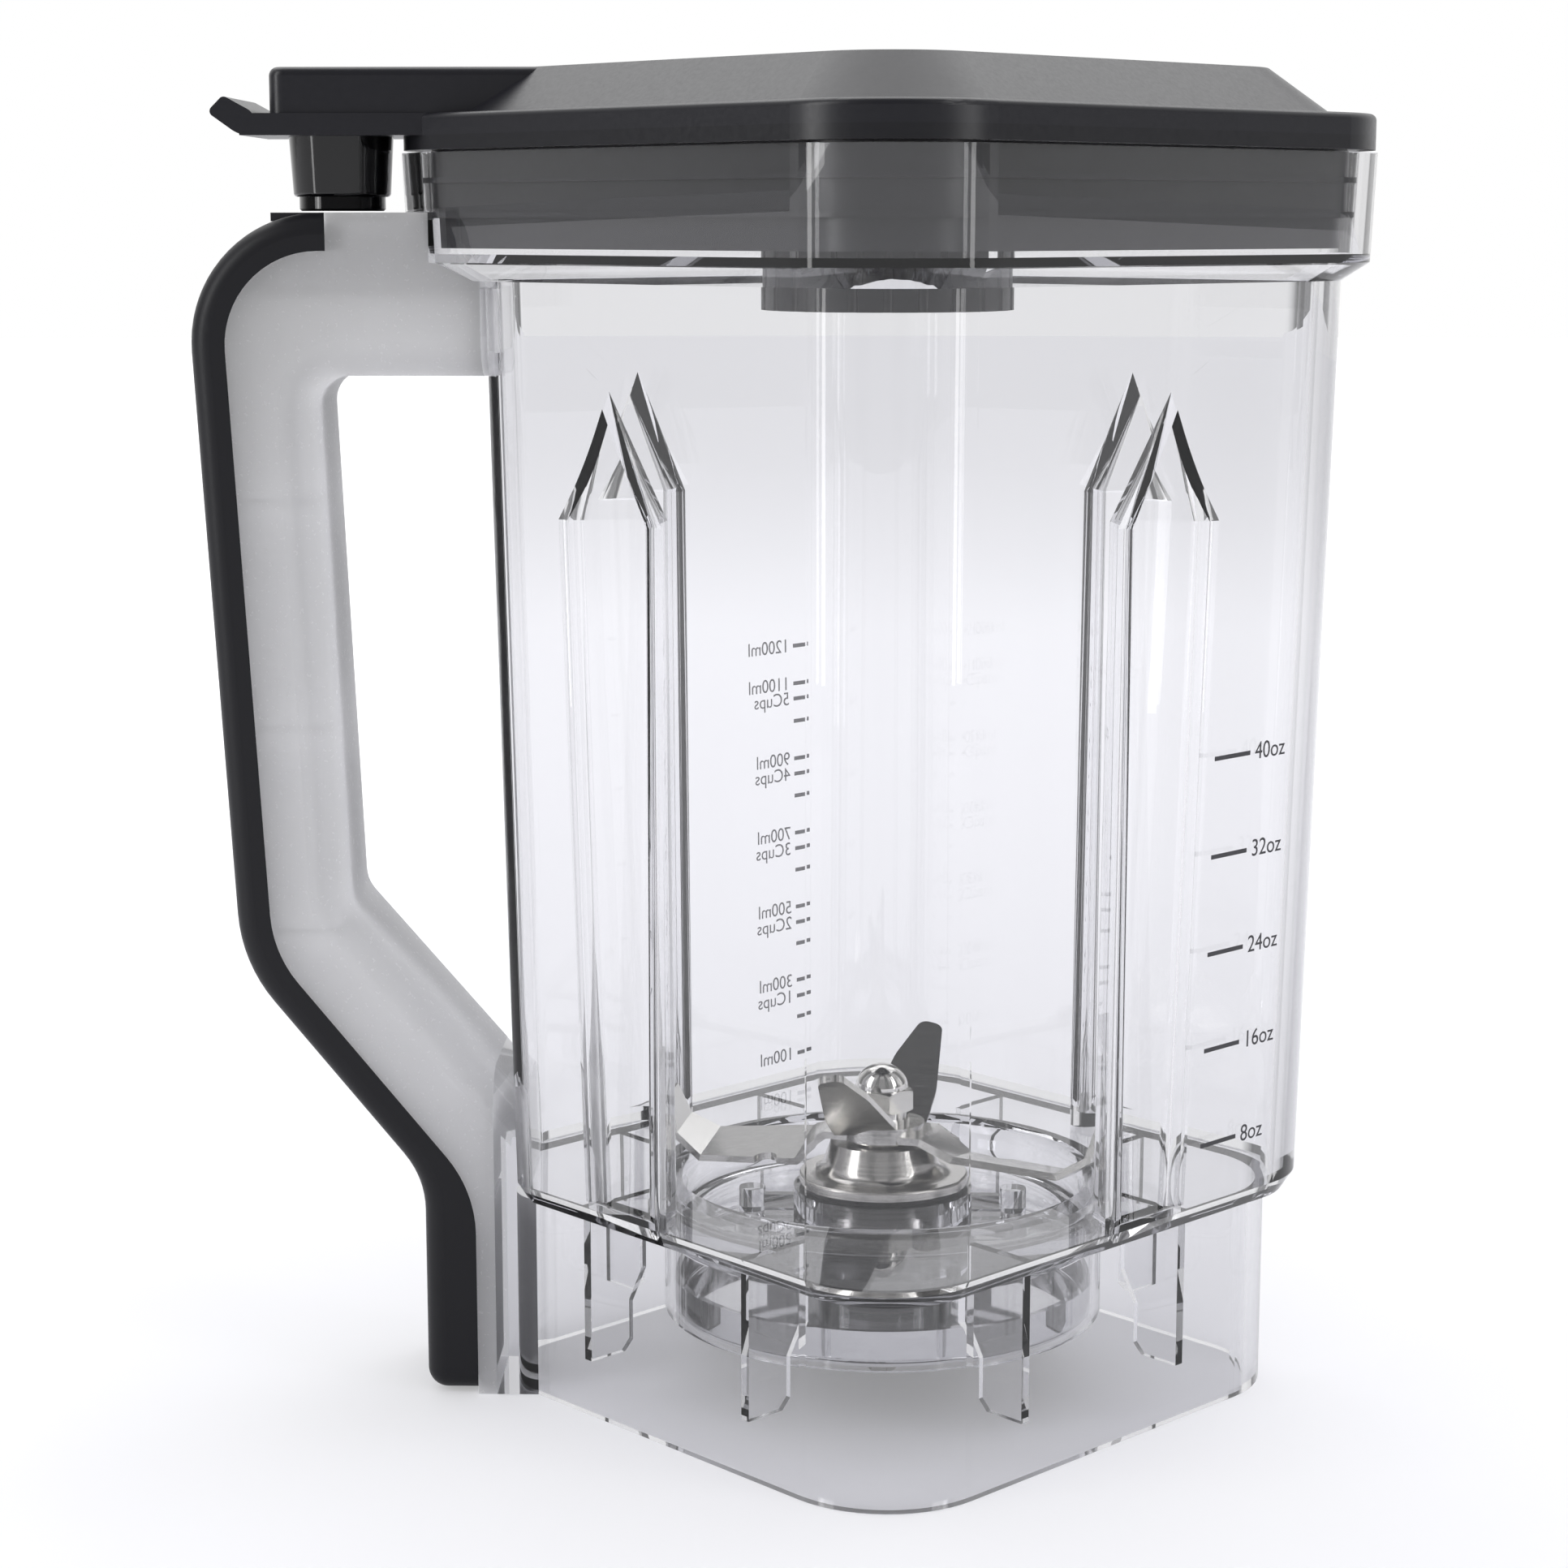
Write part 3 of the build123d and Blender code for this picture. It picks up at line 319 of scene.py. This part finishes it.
def toolLinedSteel(name, look):
    material, tree, place = startMaterial(name)
    squeezed = addNode(
        tree, "ShaderNodeMapping", {"Vector": place, "Scale": look["stretch"]}
    ).outputs["Vector"]
    lines = addNode(
        tree, "ShaderNodeTexNoise",
        {"Vector": squeezed, "Scale": 1 / (look["lineMm"] * mm), "Detail": toolLines["detail"]},
    ).outputs["Fac"]
    shade = addNode(
        tree, "ShaderNodeMix",
        {"Factor": lines, colourA: linear(look["colour"], toolLines["darkest"]),
         colourB: linear(look["colour"])},
        data_type="RGBA",
    ).outputs[colourOut]
    rough = addNode(
        tree, "ShaderNodeMapRange",
        {"Value": lines, "From Min": noiseLow, "From Max": noiseHigh,
         "To Min": look["roughness"] * (1 - toolLines["roughShare"]),
         "To Max": look["roughness"] * (1 + toolLines["roughShare"])},
    ).outputs["Result"]
    relief = addNode(
        tree, "ShaderNodeBump",
        {"Height": lines, "Strength": toolLines["bump"], "Distance": look["lineDepthMm"] * mm},
    ).outputs["Normal"]
    shader = addNode(
        tree, "ShaderNodeBsdfPrincipled",
        {"Base Color": shade, "Roughness": rough, "Normal": relief, "Metallic": 1.0},
    ).outputs["BSDF"]
    addNode(tree, "ShaderNodeOutputMaterial", {"Surface": shader})
    return material


dress(clearPolycarbonate(), jarLook["on"])
for name, look in plastics.items():
    dress(mouldedPlastic(name, look), look["on"])
for name, look in steels.items():
    dress(toolLinedSteel(name, look), look["on"])
print("materials set")


# Printed marks: ticks and words on two faces of the jar, in thin and slightly uneven black ink
inkLook = {
    "dark": "#26262b",
    "pale": "#3a3a40",
    "roughness": 0.45,
    "patchMm": 0.6,
    "thickMm": 0.03,
    "standMm": 0.05,
    "tickMm": 0.85,
    "sizePerHeight": 1.4,  # font size for a letter of height 1
}
# The tapered faces that carry the marks: distance from the axis at their foot and top
faceLook = {
    "halfLowMm": 63.2,
    "halfHighMm": 66.2,
    "lowMm": 39.5,
    "highMm": 215.5,
}
ounceMarks = {
    "faceDeg": 315,
    "tickFromMm": 20.5,
    "tickToMm": 31.0,
    "wordMm": 32.4,
    "wordHeightMm": 3.3,
    "firstMm": 54.9,
    "stepMm": 18.52,
    "stepOz": 8,
    "count": 5,
}
cupMarks = {
    "faceDeg": 135,
    "tickFromMm": -43.6,
    "tickToMm": -38.0,
    "wordMm": -36.8,
    "wordHeightMm": 2.9,
    "firstMl": 100,
    "lastMl": 1200,
    "firstMlMm": 46.6,
    "mlStep": 100,
    "mlStepMm": 8.17,
    "bareMl": (200, 400, 600, 800, 1000),  # ticks with no word
    "cups": 5,
    "firstCupMm": 59.4,
    "cupStepMm": 16.4,
}


def padPrintInk():
    material, tree, place = startMaterial("padPrintInk")
    patch = addNode(
        tree, "ShaderNodeTexNoise", {"Vector": place, "Scale": 1 / (inkLook["patchMm"] * mm)}
    ).outputs["Fac"]
    shade = addNode(
        tree, "ShaderNodeMix",
        {"Factor": patch, colourA: linear(inkLook["dark"]), colourB: linear(inkLook["pale"])},
        data_type="RGBA",
    ).outputs[colourOut]
    shader = addNode(
        tree, "ShaderNodeBsdfPrincipled", {"Base Color": shade, "Roughness": inkLook["roughness"]}
    ).outputs["BSDF"]
    addNode(tree, "ShaderNodeOutputMaterial", {"Surface": shader})
    return material


def facePlace(faceDeg, acrossMm, heightMm):
    # Matrix that puts a flat drawing on the tapered face: X runs along it, Y up it, Z out of it
    rise = faceLook["highMm"] - faceLook["lowMm"]
    flare = faceLook["halfHighMm"] - faceLook["halfLowMm"]
    half = faceLook["halfLowMm"] + flare * (heightMm - faceLook["lowMm"]) / rise
    outward = Vector((cos(radians(faceDeg)), sin(radians(faceDeg)), 0))
    along = Vector((-outward.y, outward.x, 0))
    up = (outward * flare + Vector((0, 0, rise))).normalized()
    normal = along.cross(up)
    point = outward * half + along * acrossMm + Vector((0, 0, heightMm)) + normal * inkLook["standMm"]
    turn = Matrix((along, up, normal)).transposed().to_4x4()
    return Matrix.Translation(point * mm) @ turn


def addTick(mesh, marks, heightMm):
    length = marks["tickToMm"] - marks["tickFromMm"]
    middle = (marks["tickToMm"] + marks["tickFromMm"]) / 2
    size = Matrix.Diagonal((length * mm, inkLook["tickMm"] * mm, inkLook["thickMm"] * mm, 1))
    bmesh.ops.create_cube(mesh, size=1, matrix=facePlace(marks["faceDeg"], middle, heightMm) @ size)


def addWord(mesh, marks, text, heightMm):
    curve = bpy.data.curves.new("markWord", "FONT")
    curve.body = text
    curve.size = marks["wordHeightMm"] * mm * inkLook["sizePerHeight"]
    curve.extrude = inkLook["thickMm"] * mm / 2
    curve.align_y = "CENTER"
    drawing = bpy.data.objects.new("markWord", curve)
    scene.collection.objects.link(drawing)
    bpy.context.view_layer.update()
    flat = bpy.data.meshes.new_from_object(drawing.evaluated_get(bpy.context.evaluated_depsgraph_get()))
    flat.transform(facePlace(marks["faceDeg"], marks["wordMm"], heightMm))
    mesh.from_mesh(flat)
    bpy.data.objects.remove(drawing)
    bpy.data.curves.remove(curve)
    bpy.data.meshes.remove(flat)


def finishMarks(mesh, name, ink):
    data = bpy.data.meshes.new(name)
    mesh.to_mesh(data)
    mesh.free()
    data.materials.append(ink)
    piece = bpy.data.objects.new(name, data)
    scene.collection.objects.link(piece)
    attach(piece, "jar")


ink = padPrintInk()
ounces = bmesh.new()
for i in range(ounceMarks["count"]):
    height = ounceMarks["firstMm"] + i * ounceMarks["stepMm"]
    addTick(ounces, ounceMarks, height)
    addWord(ounces, ounceMarks, f"{(i + 1) * ounceMarks['stepOz']}oz", height)
finishMarks(ounces, "ounceMarks", ink)

cups = bmesh.new()
for ml in range(cupMarks["firstMl"], cupMarks["lastMl"] + 1, cupMarks["mlStep"]):
    height = cupMarks["firstMlMm"] + (ml - cupMarks["firstMl"]) / cupMarks["mlStep"] * cupMarks["mlStepMm"]
    addTick(cups, cupMarks, height)
    if ml not in cupMarks["bareMl"]:
        addWord(cups, cupMarks, f"{ml}ml", height)
for i in range(cupMarks["cups"]):
    height = cupMarks["firstCupMm"] + i * cupMarks["cupStepMm"]
    addTick(cups, cupMarks, height)
    addWord(cups, cupMarks, f"{i + 1}Cups", height)
finishMarks(cups, "cupMarks", ink)
print("marks printed")


# Pale floor, in metres: its glow is painted light that grows far from the jar; seen through clear walls it
# glows less, a painted shade that greys the floor there
floorLook = {
    "radius": 6.0,
    "segments": 96,
    "drop": -0.0003,  # just under the jar's foot
    "colour": "#c0c0c4",
    "nearSeen": 0.36,
    "nearThrough": 0.20,
    "farSeen": 0.85,
    "farThrough": 0.42,
    "farFrom": 0.16,
    "farTo": 1.20,
}


def buildFloor():
    shape = bmesh.new()
    bmesh.ops.create_circle(
        shape, cap_ends=True, segments=floorLook["segments"], radius=floorLook["radius"],
        matrix=Matrix.Translation((0, 0, floorLook["drop"])),
    )
    data = bpy.data.meshes.new("paleFloor")
    shape.to_mesh(data)
    shape.free()
    floor = bpy.data.objects.new("paleFloor", data)
    scene.collection.objects.link(floor)
    material, tree, place = startMaterial("paleSweep")
    card = addNode(tree, "ShaderNodeBsdfDiffuse", {"Color": linear(floorLook["colour"])}).outputs["BSDF"]
    away = addNode(tree, "ShaderNodeVectorMath", {0: place}, operation="LENGTH").outputs["Value"]
    path = addNode(tree, "ShaderNodeLightPath").outputs
    # Seen through clear walls the glow is weaker: painted shade on the floor seen through the jar
    near = addNode(
        tree, "ShaderNodeMix",
        {"Factor": path["Is Camera Ray"], "A": floorLook["nearThrough"], "B": floorLook["nearSeen"]},
    ).outputs["Result"]
    far = addNode(
        tree, "ShaderNodeMix",
        {"Factor": path["Is Camera Ray"], "A": floorLook["farThrough"], "B": floorLook["farSeen"]},
    ).outputs["Result"]
    level = addNode(
        tree, "ShaderNodeMapRange",
        {"Value": away, "From Min": floorLook["farFrom"], "From Max": floorLook["farTo"],
         "To Min": near, "To Max": far},
    ).outputs["Result"]
    # The camera, gloss and clear walls see the glow; dull surfaces aren't lit by it
    looking = path["Is Camera Ray"]
    for kind in ("Is Glossy Ray", "Is Transmission Ray"):
        looking = addNode(
            tree, "ShaderNodeMath", {0: looking, 1: path[kind]}, operation="MAXIMUM"
        ).outputs[0]
    strength = addNode(tree, "ShaderNodeMath", {0: level, 1: looking}, operation="MULTIPLY").outputs[0]
    glow = addNode(tree, "ShaderNodeEmission", {"Strength": strength}).outputs["Emission"]
    surface = addNode(tree, "ShaderNodeAddShader", {0: card, 1: glow}).outputs["Shader"]
    addNode(tree, "ShaderNodeOutputMaterial", {"Surface": surface})
    data.materials.append(material)


# White tent: seen through clear walls it has dark seams, which draw their edges, and a dark room
# on the camera's side; gloss sees a white sweep behind and above the jar, and little in front
tentLook = {
    "light": 0.80,  # what falls on dull surfaces
    "seen": 1.0,  # white behind the jar
    "panelLight": 0.90,
    "panelEveryDeg": 45.0,
    "seamHalfDeg": 7.0,
    "seamSoftDeg": 5.0,
    "seamLight": 0.16,
    "roofFromDeg": 18.0,
    "roofToDeg": 34.0,
    "roofLight": 0.60,
    "roomLean": 0.8,  # how much height counts as behind
    "roomFrom": -0.15,
    "roomTo": 0.15,
    "roomLight": 0.30,
    "glossLean": 0.5,
    "glossFrom": 0.10,
    "glossTo": 0.75,
    "glossFront": 0.16,
    "glossBack": 1.0,
}


def tentStrength(tree, toward):
    # Distance in radians from the middle of the nearest panel; the seams lie half way between panels
    halfPanel = radians(tentLook["panelEveryDeg"]) / 2
    seam = halfPanel - radians(tentLook["seamHalfDeg"])
    softSeam = halfPanel - radians(tentLook["seamHalfDeg"] + tentLook["seamSoftDeg"])
    heading = addNode(
        tree, "ShaderNodeMath", {0: toward["Y"], 1: toward["X"]}, operation="ARCTAN2"
    ).outputs[0]
    aside = addNode(tree, "ShaderNodeMath", {0: heading, 1: halfPanel}, operation="PINGPONG").outputs[0]
    panel = addNode(
        tree, "ShaderNodeMapRange",
        {"Value": aside, "From Min": softSeam, "From Max": seam,
         "To Min": tentLook["panelLight"], "To Max": tentLook["seamLight"]},
        interpolation_type="SMOOTHSTEP",
    ).outputs["Result"]
    roof = addNode(
        tree, "ShaderNodeMapRange",
        {"Value": toward["Z"], "From Min": sin(radians(tentLook["roofFromDeg"])),
         "From Max": sin(radians(tentLook["roofToDeg"])), "To Min": 1.0, "To Max": tentLook["roofLight"]},
        interpolation_type="SMOOTHSTEP",
    ).outputs["Result"]
    behind = addNode(
        tree, "ShaderNodeMath", {0: toward["Z"], 1: tentLook["roomLean"], 2: toward["Y"]},
        operation="MULTIPLY_ADD",
    ).outputs[0]
    room = addNode(
        tree, "ShaderNodeMapRange",
        {"Value": behind, "From Min": tentLook["roomFrom"], "From Max": tentLook["roomTo"],
         "To Min": tentLook["roomLight"], "To Max": 1.0},
        interpolation_type="SMOOTHSTEP",
    ).outputs["Result"]
    tent = addNode(tree, "ShaderNodeMath", {0: panel, 1: roof}, operation="MINIMUM").outputs[0]
    return addNode(tree, "ShaderNodeMath", {0: tent, 1: room}, operation="MINIMUM").outputs[0]


def glossStrength(tree, toward):
    behind = addNode(
        tree, "ShaderNodeMath", {0: toward["Z"], 1: tentLook["glossLean"], 2: toward["Y"]},
        operation="MULTIPLY_ADD",
    ).outputs[0]
    return addNode(
        tree, "ShaderNodeMapRange",
        {"Value": behind, "From Min": tentLook["glossFrom"], "From Max": tentLook["glossTo"],
         "To Min": tentLook["glossFront"], "To Max": tentLook["glossBack"]},
        interpolation_type="SMOOTHSTEP",
    ).outputs["Result"]


def buildWorld():
    world = bpy.data.worlds.new("whiteTent")
    world.use_nodes = True
    tree = world.node_tree
    tree.nodes.clear()
    path = addNode(tree, "ShaderNodeLightPath").outputs
    direction = addNode(tree, "ShaderNodeTexCoord").outputs["Generated"]
    toward = addNode(tree, "ShaderNodeSeparateXYZ", {"Vector": direction}).outputs
    sights = {
        "Is Glossy Ray": glossStrength(tree, toward),
        "Is Transmission Ray": tentStrength(tree, toward),
        "Is Camera Ray": tentLook["seen"],
    }
    mixed = addNode(tree, "ShaderNodeBackground", {"Color": white, "Strength": tentLook["light"]}).outputs[0]
    for kind, strength in sights.items():
        sight = addNode(tree, "ShaderNodeBackground", {"Color": white, "Strength": strength}).outputs[0]
        mixed = addNode(tree, "ShaderNodeMixShader", {0: path[kind], 1: mixed, 2: sight}).outputs[0]
    addNode(tree, "ShaderNodeOutputWorld", {"Surface": mixed})
    scene.world = world


# Soft panels light the jar, and two narrow strips put highlights down its sides
lampLook = {
    "aimAt": (0.0, 0.0, 0.12),
    "panels": [
        {"name": "leftPanel", "at": (-1.25, -0.65, 0.75), "size": (0.5, 1.3), "watts": 7.0},
        {"name": "rightPanel", "at": (1.20, -0.75, 0.85), "size": (0.5, 1.3), "watts": 5.0},
        {"name": "topPanel", "at": (0.0, 0.60, 1.40), "size": (2.0, 1.2), "watts": 12.0},
        {"name": "leftStrip", "at": (-0.62, -0.30, 0.27), "size": (0.05, 0.50), "watts": 0.35},
        {"name": "rightStrip", "at": (0.60, -0.34, 0.27), "size": (0.05, 0.50), "watts": 0.30},
    ],
}


def buildPanels():
    for panel in lampLook["panels"]:
        lamp = bpy.data.lights.new(panel["name"], "AREA")
        lamp.shape = "RECTANGLE"
        lamp.size, lamp.size_y = panel["size"]
        lamp.energy = panel["watts"]
        holder = bpy.data.objects.new(panel["name"], lamp)
        holder.location = panel["at"]
        aim = Vector(lampLook["aimAt"]) - Vector(panel["at"])
        holder.rotation_euler = aim.to_track_quat("-Z", "Y").to_euler()
        scene.collection.objects.link(holder)


# Camera worked out from the jar's edges in the photograph: level with the collar, looking a little down
cameraLook = {
    "at": (-0.0072, -0.6159, 0.2261),
    "pitchDeg": 80.1,
    "headingDeg": 1.15,
    "lensMm": 73.81,
    "sensorMm": 36.0,
}


def buildCamera():
    eye = bpy.data.cameras.new("photoCamera")
    eye.lens = cameraLook["lensMm"]
    eye.sensor_width = cameraLook["sensorMm"]
    holder = bpy.data.objects.new("photoCamera", eye)
    holder.location = cameraLook["at"]
    holder.rotation_euler = (radians(cameraLook["pitchDeg"]), 0, radians(cameraLook["headingDeg"]))
    scene.collection.objects.link(holder)
    scene.camera = holder


buildFloor()
buildWorld()
buildPanels()
buildCamera()
print("studio set")
